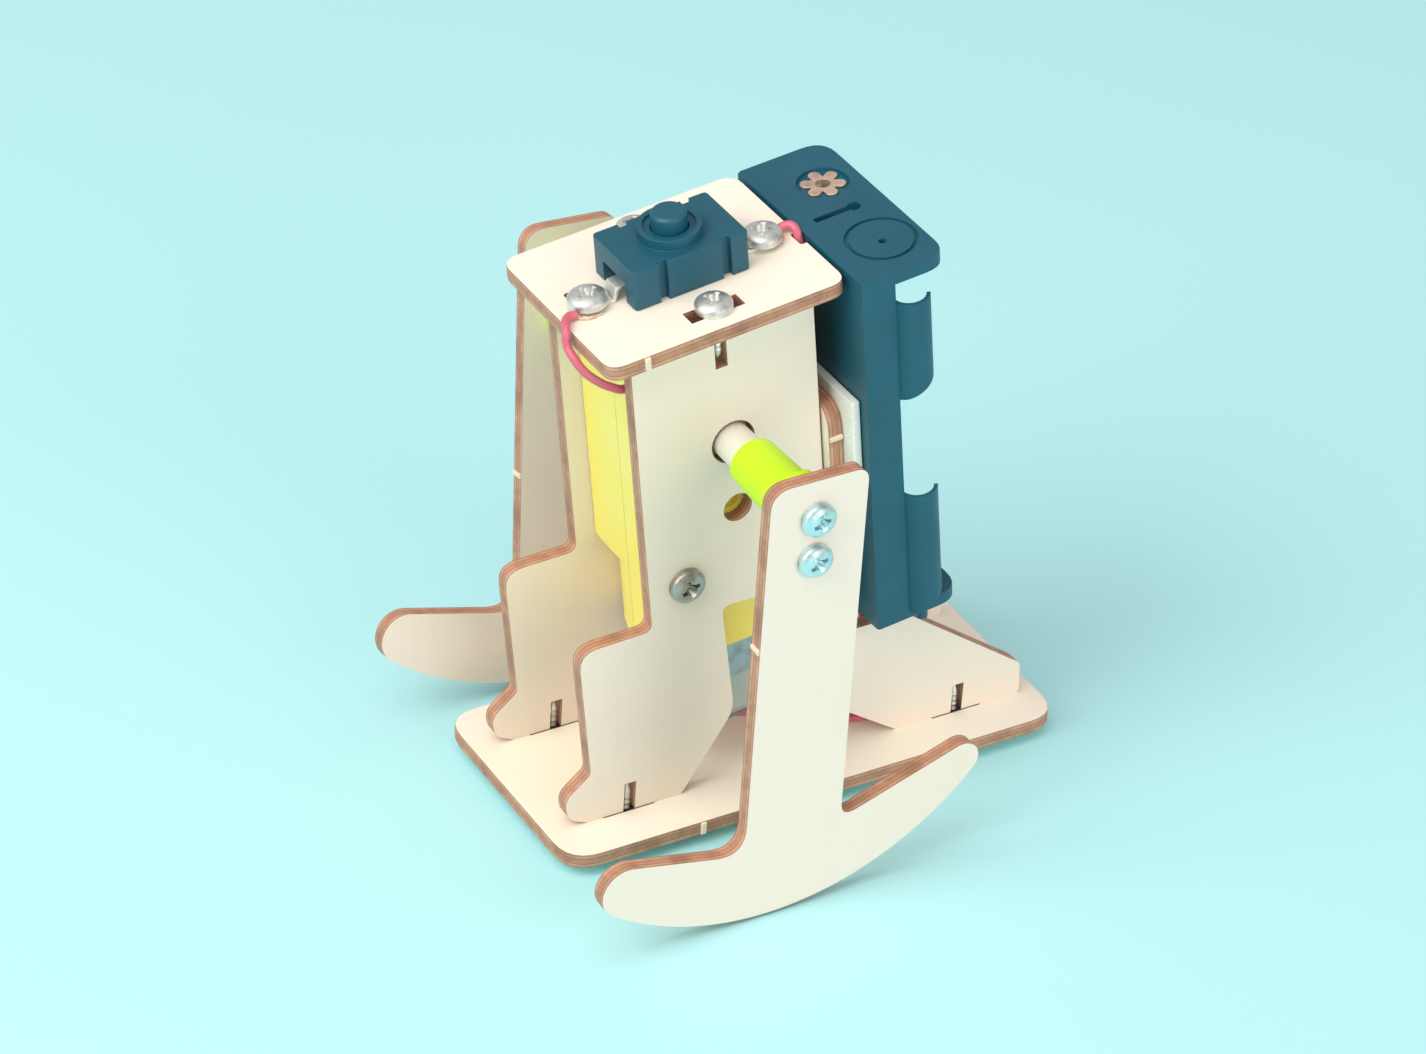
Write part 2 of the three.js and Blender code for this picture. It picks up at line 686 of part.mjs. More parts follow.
function switchSpring() {
  return coilBody({ x: 0, y: switchBox.y, z0: 22.5, z1: 24.8, r0: 2.3, r1: 2.3, turns: 3, wire: 0.22 });
}

// A solder tag bent from the switch's end down to its clamping screw.
function switchTerminal(end) {
  const bodyEnd = switchBox.y + end * switchBox.halfLength;
  const { x, y: foot } = end > 0 ? terminalScrew.rear : terminalScrew.front;
  const thick = 0.5;
  const low = deck.top + 0.05;
  const high = low + 2.2;
  const profile = outline([
    [bodyEnd - end * 1.5, high],
    [bodyEnd + end * 0.9, high],
    [bodyEnd + end * 1.5, low + thick],
    [foot + end * 1.6, low + thick],
    [foot + end * 1.6, low],
    [bodyEnd + end * 1.1, low],
    [bodyEnd + end * 0.5, high - thick],
    [bodyEnd - end * 1.5, high - thick],
  ]);
  const strip = prismX(end > 0 ? profile : reversed(profile), x - 1.3, x + 1.3);
  return cut(strip, cylinderZ(0.85, low - 1, low + 1, x, foot, 12));
}

function reversed(shape) {
  return new THREE.Shape(shape.getPoints().reverse());
}

// ---- Battery holder ----
function batteryHolder() {
  const { x, halfWidth, front, rear, bottom, top, floor, wall, end, rim } = holder;
  const back = block(x - halfWidth, x + halfWidth, front, front + floor, bottom + 0.2, top - 0.2);
  const endPlan = outline([
    [x - halfWidth, front, 0.6],
    [x + halfWidth, front, 0.6],
    [x + halfWidth, rear, 3.5],
    [x - halfWidth, rear, 3.5],
  ]);
  const ends = [prismZ(endPlan, top - end, top), prismZ(endPlan, bottom, bottom + end)];
  const walls = [-1, 1].map((side) => {
    const outer = x + side * halfWidth;
    const inner = outer - side * wall;
    return block(Math.min(inner, outer), Math.max(inner, outer), front, rim, bottom + 0.5, top - 0.5);
  });
  const rib = block(x - 0.8, x + 0.8, front, 24, bottom + 0.5, top - 0.5);
  const lips = [-1, 1].flatMap((side) => [clipBody(side, 1.2, 17), clipBody(side, bottom + 1, -14.9)]);
  const peg = cylinderZ(0.8, bottom - 1.4, bottom + 0.5, x + halfWidth - 0.9, 24.9, 12);
  return cut(join(back, ...ends, ...walls, rib, ...lips, peg), ...endDetails());
}

// A springy lip that curls out of a side wall and over a cell, from z0 to z1; its lower end rises
// towards the lip's tip.
function clipBody(side, z0, z1) {
  const { inset, y, inner, outer } = clip;
  const centre = holder.x + side * (holder.halfWidth - inset);
  const [from, to] = side > 0 ? [-92, 62] : [118, 272];
  const shape = new THREE.Shape();
  shape.absarc(centre, y, outer, degrees(from), degrees(to), false);
  shape.absarc(centre, y, inner, degrees(to), degrees(from), true);
  shape.closePath();
  const root = holder.rim;
  const slope = 0.5;
  const trim = outline([
    [root - 2, z0 - 2 * slope],
    [root + 8, z0 + 8 * slope],
    [root + 8, z1],
    [root - 2, z1],
  ]);
  return prismZ(shape, z0 - 1, z1, 8).intersect(prismX(trim, centre - 5, centre + 5));
}

// The recess, ring and key slot in the top end, and the rivet holes through both ends.
function endDetails() {
  const { x, top, bottom, end, cellOffset, cellY } = holder;
  const keyX = x - 0.2;
  const keySlot = join(
    block(keyX - 0.5, keyX + 0.5, 19.85, 26, top - 3, top + 1),
    cylinderZ(0.95, top - 3, top + 1, keyX, 26, 16),
  );
  const ring = cut(
    cylinderZ(ringMark.outer, top - 0.4, top + 1, ringMark.x, ringMark.y, 28),
    cylinderZ(ringMark.inner, top - 1, top + 2, ringMark.x, ringMark.y, 28),
  );
  return [
    cylinderZ(eyelet.recess, top - 0.5, top + 1, eyelet.x, eyelet.y, 28),
    ring,
    keySlot,
    cylinderZ(eyelet.hole, top - end - 1, top + 1, eyelet.x, eyelet.y, 16),
    cylinderZ(0.6, top - end - 1, top + 1, ringMark.x + 0.55, ringMark.y - 0.15, 8),
    cylinderZ(1.1, bottom - 1, bottom + end + 1, x - cellOffset, cellY, 12),
    cylinderZ(1.1, bottom - 1, bottom + end + 1, x + cellOffset, cellY, 12),
  ];
}

// The star-shaped eyelet that holds a contact to the top end: six round petals around a hollow barrel.
function starRivet() {
  const { x, y, barrel, bore } = eyelet;
  const { top, end } = holder;
  const petals = 6;
  const petal = { distance: 2.3, radius: 0.85, valley: 1.65 };
  const shape = new THREE.Shape();
  for (let i = 0; i < petals; i++) {
    const angle = (2 * Math.PI * i) / petals;
    const between = angle + Math.PI / petals;
    const centre = [x + petal.distance * Math.cos(angle), y + petal.distance * Math.sin(angle)];
    shape.absarc(...centre, petal.radius, angle - degrees(110), angle + degrees(110), false);
    shape.lineTo(x + petal.valley * Math.cos(between), y + petal.valley * Math.sin(between));
  }
  shape.closePath();
  const star = prismZ(shape, top - 0.45, top - 0.1, 6);
  return cut(
    join(star, cylinderZ(barrel, top - end, top - 0.2, x, y, 16)),
    cylinderZ(bore, top - end - 1, top + 1, x, y, 16),
  );
}

// A lug riveted under the bottom end, which a lead is soldered to.
function solderLug(side) {
  const { x, bottom, cellOffset, cellY } = holder;
  const centre = x + side * cellOffset;
  const tag = block(centre - 1.6, centre + 1.6, cellY - 5.5, cellY + 1.6, bottom - 0.55, bottom - 0.05);
  return join(tag, cylinderZ(1, bottom - 1, bottom + 1.8, centre, cellY, 12));
}

function contactPlate(side, atTop) {
  const { x, top, bottom, end, cellOffset, cellY } = holder;
  const centre = x + side * cellOffset;
  const z = atTop ? top - end - 0.45 : bottom + end + 0.05;
  const [low, high] = atTop ? [z - 0.8, z + 0.1] : [z, z + 1.2];
  const dimple = cylinderZ(1.6, low, high, centre, cellY, 12);
  return join(block(centre - 4.5, centre + 4.5, cellY - 5, cellY + 4, z, z + 0.4), dimple);
}

function batterySpring(side, atTop) {
  const { x, top, bottom, end, cellOffset, cellY } = holder;
  const seat = atTop ? top - end - 0.5 : bottom + end + 0.5;
  const tip = atTop ? seat - 5 : seat + 5;
  return coilBody({
    x: x + side * cellOffset,
    y: cellY,
    z0: seat,
    z1: tip,
    r0: 4,
    r1: 2,
    turns: 4,
    wire: 0.35,
  });
}

// ---- Leads, in the torso's frame ----
const leadFromFrontTerminal = [
  [2.4, -16.95, 22.15],
  [2.5, -18.2, 22.3],
  [4.8, -19.75, 21.9],
  [5.5, -20.1, 20.2],
  [7.2, -20, 19],
  [8.4, -19.4, 17.6],
  [9, -18, 15.9],
  [9, -16.2, 14.2],
  [8.5, -13.6, 12.5],
  [7.8, -11, 12.7],
  [6.6, -6, 13.2],
  [5.7, 1, 13.7],
  [5.7, 7, 13.7],
  [5.8, 11, 12.6],
  [5.8, 12.4, 9.5],
  [5.8, 12.4, -2],
  [5.8, 12.4, -16],
  [5.8, 12.4, -30],
  [5.7, 12.3, -40],
  [4.8, 11.4, -46],
  [2.9, 8.9, -50.4],
  [0.9, 6.4, -51.6],
];
const leadFromRearTerminal = [
  [0.6, 14.75, 22.15],
  [0.7, 15.7, 22.4],
  [1.3, 16.4, 22.5],
  [2.1, 16.6, 22.1],
  [2.6, 16.6, 21.2],
  [3, 16.6, 19.6],
  [3.2, 16.2, 17.4],
  [3.2, 15.3, 14],
  [2.9, 14.2, 10],
  [2.3, 13, 6],
  [1.8, 12.4, 1],
  [1.6, 12.4, -10],
  [1.4, 12.4, -24],
  [1, 12.4, -36],
  [0, 13.4, -42],
  [-2.2, 16.2, -43.6],
  [-4.6, 18.6, -41.6],
  [-5.8, 20, -38.6],
];
const leadToMotor = [
  [8.2, 19.9, -38.4],
  [8, 21, -43],
  [8.3, 23.6, -50],
  [8.6, 24.6, -55.5],
  [8.5, 22.6, -58.9],
  [7.9, 18.6, -59.2],
  [5.6, 14, -58.4],
  [3, 8.8, -57],
  [1.2, 2.5, -55.4],
  [0.5, -2.6, -54],
  [0.3, -5.6, -52.9],
];

// ---- Assembly ----
const robot = new THREE.Group();
const torso = new THREE.Group();
torso.position.set(0, shaft.y, shaft.z);
torso.rotation.x = lean;
robot.add(torso);

const sides = [
  ["left", 1],
  ["right", -1],
];

function addChassis() {
  addPiece(robot, "base_plate", basePlate(), plywood);
  const down = Z.clone().negate();
  for (const [name, side] of sides) {
    addPiece(robot, `side_panel_${name}`, sidePanel(side), plywood);
    const x = side * panel.middle;
    addPiece(robot, `base_screw_${name}_front`, placedScrew(6.4, x, footSlot.front, 0, down), steel);
    addPiece(robot, `base_screw_${name}_rear`, placedScrew(6.4, x, footSlot.rear, 0, down), steel);
    addPiece(torso, `deck_screw_${name}`, placedScrew(8, x, deckSlot.y, deck.top, Z), steel);
  }
  addPiece(torso, "deck_plate", deckPlate(), plywood);
  addPiece(torso, "rear_plate", rearBoard(), plywood);
  addPiece(torso, "foam_tape", tapePad(), foam);
}

function addMotor() {
  for (const [name, side] of sides) {
    addPiece(torso, `gearbox_shell_${name}`, gearboxShell(side), yellowPlastic);
    addPiece(torso, `motor_magnet_${side > 0 ? "rear" : "front"}`, magnet(side), ferrite);
    addPiece(torso, `motor_terminal_${side > 0 ? "rear" : "front"}`, motorTerminal(side), copper);
    const out = X.clone().multiplyScalar(side);
    const face = side * panel.outer;
    const { y, z } = mountHole;
    addPiece(torso, `motor_screw_${name}_front`, placedScrew(5.6, face, -y, z, out), steel);
    addPiece(torso, `motor_screw_${name}_rear`, placedScrew(5.6, face, y, z, out), steel);
  }
  addPiece(torso, "motor_can", motorCan(), steel);
  addPiece(torso, "motor_end_cap", motorEndCap(), whitePlastic);
  addPiece(torso, "motor_strap", motorStrap(), clearPlastic);
  addPiece(torso, "middle_axle", cylinderX(axleRadius, -8.4, 8.4, 0, middleAxle, 12), steel);
  addPiece(torso, "crown_axle", cylinderX(axleRadius, -8.4, 8.4, 0, crownAxle, 12), steel);
  addPiece(torso, "middle_gear", middleGear().translate([0, 0, middleAxle]), whitePlastic);
  addPiece(torso, "crown_gear", crownGear().translate([0, 0, crownAxle]), whitePlastic);
  addPiece(torso, "motor_armature", armature(), steel);
  addPiece(torso, "motor_pinion", motorPinion(), whitePlastic);
}

function addLegs() {
  addPiece(torso, "output_shaft", outputShaft(), whitePlastic);
  for (const [name, side] of sides) {
    const drive = new THREE.Group();
    drive.position.set(0, shaft.y, shaft.z);
    robot.add(drive);
    const place = legPlace[name];
    const mount = new THREE.Group();
    mount.position.set(place.x, place.y, 0);
    mount.rotation.set(place.turn, -place.lean, 0, "YXZ");
    mount.updateMatrix();
    drive.add(mount);
    addPiece(drive, `hub_${name}`, hubBody(side, mount), limePlastic);
    addPiece(mount, `leg_${name}`, legBoard(side), plywood);
    const out = X.clone().multiplyScalar(side);
    const { y, upper, lower } = legScrews;
    addPiece(mount, `leg_screw_${name}_upper`, placedScrew(6.5, side * ply, y, upper, out), steel);
    addPiece(mount, `leg_screw_${name}_lower`, placedScrew(6.5, side * ply, y, lower, out), steel);
  }
}

function addSwitch() {
  addPiece(torso, "switch_body", switchBody(), blackPlastic);
  addPiece(torso, "switch_button", switchButton(), blackPlastic);
  addPiece(torso, "switch_spring", switchSpring(), steel);
  for (const [name, end] of [["front", -1], ["rear", 1]]) {
    addPiece(torso, `switch_terminal_${name}`, switchTerminal(end), steel);
    const { x, y } = terminalScrew[name];
    const seat = deck.top + 0.65;
    addPiece(torso, `terminal_screw_${name}`, placedScrew(6, x, y, seat, Z), steel);
  }
}

function addBatteryHolder() {
  addPiece(torso, "battery_holder", batteryHolder(), blackPlastic);
  addPiece(torso, "battery_rivet", starRivet(), copper);
  addPiece(torso, "battery_lug_left", solderLug(1), copper);
  addPiece(torso, "battery_lug_right", solderLug(-1), copper);
  addPiece(torso, "battery_contact_top", contactPlate(1, true), steel);
  addPiece(torso, "battery_contact_bottom", contactPlate(-1, false), steel);
  addPiece(torso, "battery_spring_top", batterySpring(-1, true), steel);
  addPiece(torso, "battery_spring_bottom", batterySpring(1, false), steel);
}

function addLeads() {
  addPiece(torso, "lead_switch_motor", wireBody(leadFromFrontTerminal), redInsulation);
  addPiece(torso, "lead_switch_battery", wireBody(leadFromRearTerminal), redInsulation);
  addPiece(torso, "lead_battery_motor", wireBody(leadToMotor), redInsulation);
}

addChassis();
addMotor();
addLegs();
addSwitch();
addBatteryHolder();
addLeads();

export default robot;
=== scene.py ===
"""Looks of the walking robot kit.

Each visible piece takes its place and shape from its CAD node, and gets real edges and a finish.
Sizes in the tables below are in millimetres; MM turns them into Blender's metres.
"""

import json
import math

import bmesh
import bpy
from mathutils import Matrix, Vector

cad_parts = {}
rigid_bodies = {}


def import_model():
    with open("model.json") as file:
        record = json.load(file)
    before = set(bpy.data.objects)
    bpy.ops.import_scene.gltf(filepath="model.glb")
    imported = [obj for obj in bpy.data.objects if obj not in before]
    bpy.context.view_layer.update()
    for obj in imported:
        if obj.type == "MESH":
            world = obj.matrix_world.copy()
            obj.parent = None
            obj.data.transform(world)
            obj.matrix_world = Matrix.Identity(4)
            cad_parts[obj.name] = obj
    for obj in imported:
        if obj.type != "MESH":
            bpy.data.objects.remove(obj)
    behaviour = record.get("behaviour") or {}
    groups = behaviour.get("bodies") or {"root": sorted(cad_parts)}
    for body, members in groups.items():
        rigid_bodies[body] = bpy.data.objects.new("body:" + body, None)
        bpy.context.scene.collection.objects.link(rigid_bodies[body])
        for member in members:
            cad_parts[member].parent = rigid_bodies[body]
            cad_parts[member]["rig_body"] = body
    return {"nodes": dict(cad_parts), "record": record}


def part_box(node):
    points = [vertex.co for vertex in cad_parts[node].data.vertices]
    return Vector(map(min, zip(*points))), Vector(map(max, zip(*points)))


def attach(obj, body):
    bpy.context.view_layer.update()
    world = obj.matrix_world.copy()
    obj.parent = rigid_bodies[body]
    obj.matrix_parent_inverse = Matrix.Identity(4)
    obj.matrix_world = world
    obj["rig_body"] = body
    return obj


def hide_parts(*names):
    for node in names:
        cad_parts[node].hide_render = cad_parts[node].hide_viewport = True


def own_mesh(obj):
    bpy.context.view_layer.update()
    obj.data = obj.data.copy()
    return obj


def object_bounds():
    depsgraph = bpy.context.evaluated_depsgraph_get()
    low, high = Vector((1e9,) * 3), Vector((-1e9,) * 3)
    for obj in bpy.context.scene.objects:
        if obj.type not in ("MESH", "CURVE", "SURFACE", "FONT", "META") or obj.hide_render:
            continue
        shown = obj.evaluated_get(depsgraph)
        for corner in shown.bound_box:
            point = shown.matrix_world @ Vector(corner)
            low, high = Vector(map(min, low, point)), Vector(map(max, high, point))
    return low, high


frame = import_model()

MM = 0.001
X, Y, Z = Vector((1, 0, 0)), Vector((0, 1, 0)), Vector((0, 0, 1))

cad_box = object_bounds()


# ---- Camera and stage ----
AZIMUTH, ELEVATION, ROLL = 57.79, 34.09, 3.91  # degrees
TARGET = Vector((1.9, -10.2, 38.5)) * MM
DISTANCE = 0.7058
LENS = 130.3
SENSOR = 36.0
KEY_WATTS, FRONT_WATTS, SIDE_WATTS = 5.0, 6.5, 4.5
AMBIENT = 0.5


def make_camera():
    azimuth, elevation, roll = (math.radians(a) for a in (AZIMUTH, ELEVATION, ROLL))
    forward = Vector(
        (
            -math.sin(azimuth) * math.cos(elevation),
            math.cos(azimuth) * math.cos(elevation),
            -math.sin(elevation),
        )
    )
    level = Vector((math.cos(azimuth), math.sin(azimuth), 0))
    above = level.cross(forward)
    right = level * math.cos(roll) + above * math.sin(roll)
    up = right.cross(forward)
    data = bpy.data.cameras.new("camera")
    data.lens = LENS
    data.sensor_width = SENSOR
    camera = bpy.data.objects.new("camera", data)
    turn = Matrix((right, up, -forward)).transposed().to_4x4()
    camera.matrix_world = Matrix.Translation(TARGET - forward * DISTANCE) @ turn
    bpy.context.scene.collection.objects.link(camera)
    bpy.context.scene.camera = camera


def area_light(name, place, size, watts, colour):
    data = bpy.data.lights.new(name, "AREA")
    data.shape = "DISK"
    data.size = size
    data.energy = watts
    data.color = colour
    light = bpy.data.objects.new(name, data)
    light.location = place
    light.rotation_euler = (TARGET - Vector(place)).to_track_quat("-Z", "Y").to_euler()
    bpy.context.scene.collection.objects.link(light)


def make_lights():
    area_light("key_light", (0.20, -0.45, 1.05), 1.0, KEY_WATTS, (1.0, 0.98, 0.95))
    area_light("front_light", (0.10, -0.90, 0.75), 0.8, FRONT_WATTS, (1.0, 0.93, 0.88))
    area_light("side_light", (1.05, 0.15, 0.40), 0.9, SIDE_WATTS, (1.0, 0.91, 0.86))
    world = bpy.data.worlds.new("studio")
    world.use_nodes = True
    background = world.node_tree.nodes["Background"]
    background.inputs["Color"].default_value = (1.0, 0.95, 0.94, 1)
    background.inputs["Strength"].default_value = AMBIENT
    bpy.context.scene.world = world
    bpy.context.scene.view_settings.view_transform = "Standard"


# ---- Node helpers ----
def new_material(name, colour, roughness, **sockets):
    """A material, its node tree and its shader, with constants on the shader's own sockets."""
    material = bpy.data.materials.new(name)
    material.use_nodes = True
    tree = material.node_tree
    shader = tree.nodes["Principled BSDF"]
    shader.inputs["Base Color"].default_value = (*colour, 1)
    shader.inputs["Roughness"].default_value = roughness
    for socket, value in sockets.items():
        shader.inputs[socket.replace("_", " ")].default_value = value
    return material, tree, shader


def add_node(tree, kind, inputs=(), **settings):
    """A node of that kind; inputs are (socket, value or another node's output)."""
    made = tree.nodes.new("ShaderNode" + kind)
    for key, value in settings.items():
        setattr(made, key, value)
    for socket, value in inputs:
        if isinstance(value, bpy.types.NodeSocket):
            tree.links.new(value, made.inputs[socket])
        else:
            made.inputs[socket].default_value = value
    return made


def object_coordinates(tree):
    return add_node(tree, "TexCoord").outputs["Object"]


def noise(tree, vector, scale, detail=3.0, roughness=0.5):
    inputs = (("Vector", vector), ("Scale", scale), ("Detail", detail), ("Roughness", roughness))
    return add_node(tree, "TexNoise", inputs).outputs["Fac"]


def ramp(tree, value, stops):
    """A colour ramp through (position, colour) stops."""
    made = add_node(tree, "ValToRGB", (("Fac", value),))
    elements = made.color_ramp.elements
    while len(elements) < len(stops):
        elements.new(0.5)
    for element, (position, colour) in zip(elements, stops):
        element.position = position
        element.color = (*colour, 1)
    return made.outputs["Color"]


def remap(tree, value, low, high, to_low=0.0, to_high=1.0):
    """The value's place between low and high, as the same place between to_low and to_high."""
    inputs = (
        ("Value", value),
        ("From Min", low),
        ("From Max", high),
        ("To Min", to_low),
        ("To Max", to_high),
    )
    return add_node(tree, "MapRange", inputs).outputs["Result"]


def mix(tree, factor, first, second):
    """A colour between the first and the second, each a colour or a socket."""
    made = add_node(tree, "Mix", data_type="RGBA")
    for index, value in ((0, factor), (6, first), (7, second)):
        if isinstance(value, bpy.types.NodeSocket):
            tree.links.new(value, made.inputs[index])
        elif isinstance(value, float):
            made.inputs[index].default_value = value
        else:
            made.inputs[index].default_value = (*value, 1)
    return made.outputs[2]


def along(tree, vector, direction):
    """The vector's length along a direction."""
    inputs = ((0, vector), (1, tuple(direction)))
    return add_node(tree, "VectorMath", inputs, operation="DOT_PRODUCT").outputs["Value"]


def set_surface(tree, shader, colour, roughness=None):
    """Feeds the shader's colour, and its roughness where that varies too."""
    tree.links.new(colour, shader.inputs["Base Color"])
    if roughness is not None:
        tree.links.new(roughness, shader.inputs["Roughness"])


def add_bump(tree, shader, height, strength, distance):
    inputs = (("Height", height), ("Strength", strength), ("Distance", distance))
    tree.links.new(add_node(tree, "Bump", inputs).outputs["Normal"], shader.inputs["Normal"])


# ---- Materials ----
# A veneer's pale wood, its grain and its blotches. Level boards are yellower and lighter than
# upright ones: one veneer in lit and shaded copies, its tones painted for the light that falls on
# level and on upright faces.
LEVEL_LIT_VENEER = (0.94, 0.885, 0.765), (0.90, 0.83, 0.68), (0.91, 0.85, 0.69)
UPRIGHT_SHADED_VENEER = (0.93, 0.81, 0.70), (0.89, 0.76, 0.62), (0.90, 0.78, 0.63)
EDGE_LIGHT, EDGE_TAN, EDGE_BROWN = (0.69, 0.42, 0.28), (0.56, 0.275, 0.17), (0.24, 0.10, 0.06)
VENEER = 0.30  # share of the thickness in each outer ply
THICKNESS = 2.2
BOARD_EASE = 0.14


def plywood(name, normal, low, high, grain, faces):
    """Pale veneer on both faces of a board and scorched plies on its laser-cut edges.

    normal is the board's own axis, low and high its two faces along it, grain the direction of the
    grain, and faces the veneer's three colours.
    """
    pale, grained, blotched = faces
    material, tree, shader = new_material(name, pale, 0.62)
    coordinates = add_node(tree, "TexCoord").outputs
    place = coordinates["Object"]
    across = normal.cross(grain)
    stretched = add_node(
        tree,
        "CombineXYZ",
        (
            ("X", remap(tree, along(tree, place, grain), 0, 1, 0, 45)),
            ("Y", remap(tree, along(tree, place, across), 0, 1, 0, 1300)),
            ("Z", remap(tree, along(tree, place, normal), 0, 1, 0, 900)),
        ),
    ).outputs[0]
    fibre = noise(tree, stretched, 1.0, 4.0, 0.55)
    blotch = noise(tree, place, 55.0, 2.0)
    veneer = mix(tree, remap(tree, fibre, 0.35, 0.75, 0.0, 0.30), pale, grained)
    veneer = mix(tree, remap(tree, blotch, 0.4, 0.75, 0.0, 0.45), veneer, blotched)
    half = [
        (0.0, EDGE_BROWN),
        (0.05, EDGE_TAN),
        (VENEER - 0.04, EDGE_LIGHT),
        (VENEER, EDGE_BROWN),
        (VENEER + 0.05, EDGE_TAN),
    ]
    other_half = [(1 - at, colour) for at, colour in reversed(half)]
    depth = remap(tree, along(tree, place, normal), low, high)
    plies = ramp(tree, depth, half + other_half)
    streaks = noise(tree, place, 420.0, 4.0, 0.7)
    burnt = mix(tree, remap(tree, streaks, 0.4, 0.7, 0.0, 0.5), plies, EDGE_BROWN)
    scorch = noise(tree, place, 140.0, 3.0, 0.6)
    burnt = mix(tree, remap(tree, scorch, 0.50, 0.68, 0.0, 0.5), burnt, EDGE_BROWN)
    facing = along(tree, coordinates["Normal"], normal)
    flatness = add_node(tree, "Math", ((0, facing),), operation="ABSOLUTE").outputs[0]
    is_face = remap(tree, flatness, 0.62, 0.93)
    gloss = remap(tree, fibre, 0.3, 0.8, 0.55, 0.72)
    set_surface(tree, shader, mix(tree, is_face, burnt, veneer), gloss)
    add_bump(tree, shader, fibre, 0.15, 0.00006)
    return material


def moulded(name, colour, deep, roughness, grain=2600.0, strength=0.12):
    """Moulded plastic: a fine spark-eroded grain and a slight unevenness of colour and gloss."""
    material, tree, shader = new_material(name, colour, roughness, Specular_IOR_Level=0.5)
    place = object_coordinates(tree)
    cloud = noise(tree, place, 90.0, 3.0)
    fine = noise(tree, place, grain, 2.0)
    gloss = remap(tree, cloud, 0.3, 0.7, roughness - 0.06, roughness + 0.08)
    set_surface(tree, shader, mix(tree, remap(tree, cloud, 0.35, 0.7), colour, deep), gloss)
    add_bump(tree, shader, fine, strength, 0.00003)
    return material


def metal(name, colour, roughness):
    """Plated or bare metal with light scratches and small stains."""
    material, tree, shader = new_material(name, colour, roughness, Metallic=1.0)
    place = object_coordinates(tree)
    drawn_out = ("Vector", place), ("Scale", (0.2, 1.0, 1.0))
    scratches = noise(tree, add_node(tree, "Mapping", drawn_out).outputs[0], 700.0, 5.0, 0.7)
    stain = noise(tree, place, 420.0, 3.0)
    dark = tuple(0.5 * c for c in colour)
    gloss = remap(tree, scratches, 0.3, 0.7, roughness - 0.08, roughness + 0.12)
    set_surface(tree, shader, mix(tree, remap(tree, stain, 0.48, 0.75), colour, dark), gloss)
    add_bump(tree, shader, scratches, 0.1, 0.00002)
    return material


def foam_material():
    """White foam between two paper-thin skins, its open cells showing on the cut edges."""
    material, tree, shader = new_material("foam", (0.90, 0.91, 0.88), 0.9)
    place = object_coordinates(tree)
    cells = add_node(tree, "TexVoronoi", (("Vector", place), ("Scale", 2600.0))).outputs["Distance"]
    shade = mix(tree, remap(tree, cells, 0.1, 0.6), (0.97, 0.98, 0.96), (0.86, 0.88, 0.86))
    set_surface(tree, shader, shade)
    add_bump(tree, shader, cells, 0.5, 0.0001)
    return material


def clear_material():
    material, tree, shader = new_material(
        "clear_plastic", (0.92, 0.96, 0.97), 0.12, Transmission_Weight=0.9, IOR=1.46
    )
    haze = noise(tree, object_coordinates(tree), 180.0, 3.0)
    tree.links.new(remap(tree, haze, 0.3, 0.7, 0.06, 0.22), shader.inputs["Roughness"])
    return material


def lime_material():
    """Fluorescent plastic with a painted glow: it emits a little light of its own, so it looks a
    little brighter than the light on it.
    """
    colour = (0.57, 0.88, 0.006)
    # The emission is a painted glow.
    material, tree, shader = new_material("lime_plastic", colour, 0.46, Emission_Strength=0.03)
    shader.inputs["Emission Color"].default_value = (*colour, 1)
    place = object_coordinates(tree)
    cloud = noise(tree, place, 120.0, 2.0)
    shade = mix(tree, remap(tree, cloud, 0.35, 0.7), colour, (0.53, 0.84, 0.005))
    set_surface(tree, shader, shade, remap(tree, cloud, 0.3, 0.7, 0.32, 0.46))
    add_bump(tree, shader, noise(tree, place, 2200.0, 2.0), 0.08, 0.00003)
    return material


def floor_material():
    """Pale blue-green paper."""
    blue = (0.475, 0.86, 0.90)
    material, tree, shader = new_material("floor", blue, 0.85, Specular_IOR_Level=0.1)
    paper = noise(tree, object_coordinates(tree), 900.0, 2.0)
    set_surface(tree, shader, mix(tree, paper, blue, (0.485, 0.87, 0.91)))
    return material


# ---- Mesh helpers ----
def cad_vertices(node):
    return [v.co for v in frame["nodes"][node].data.vertices]


def flat_normal(node, towards):
    """The direction that a board's largest face looks in, on the side of towards."""
    largest = max(frame["nodes"][node].data.polygons, key=lambda p: p.area)
    normal = largest.normal.normalized()
    return normal if normal.dot(towards) > 0 else -normal


def extent(node, direction):
    """Lowest and highest place of a node along a direction."""
    places = [v.dot(direction) for v in cad_vertices(node)]
    return min(places), max(places)


def new_object(name, bm_mesh, material, smooth_angle=35):
    mesh = bpy.data.meshes.new(name)
    bmesh.ops.recalc_face_normals(bm_mesh, faces=bm_mesh.faces)
    bm_mesh.to_mesh(mesh)
    bm_mesh.free()
    mesh.materials.append(material)
    mesh.shade_smooth()
    mesh.set_sharp_from_angle(angle=math.radians(smooth_angle))
    made = bpy.data.objects.new(name, mesh)
    bpy.context.scene.collection.objects.link(made)
    return made


def body_of_node(node):
    return frame["nodes"][node]["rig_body"]


def slot_of_node(node):
    return next(s["material_slot"] for s in frame["record"]["subparts"] if s["node"] == node)


def stand_for(piece, node):
    """The piece rides as the node that it stands for, which is hidden."""
    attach(piece, body_of_node(node))
    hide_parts(node)
    return piece


FLAT = math.radians(0.6)  # the most that two faces in one plane may differ by
SEAM = 0.01  # radians: an edge inside a flat face
SHARP = math.radians(40)  # an edge that is eased


def merge_flat(bm_mesh):
    """Makes one face of neighbours that lie in one plane."""
    bmesh.ops.dissolve_limit(bm_mesh, angle_limit=FLAT, verts=bm_mesh.verts, edges=bm_mesh.edges)


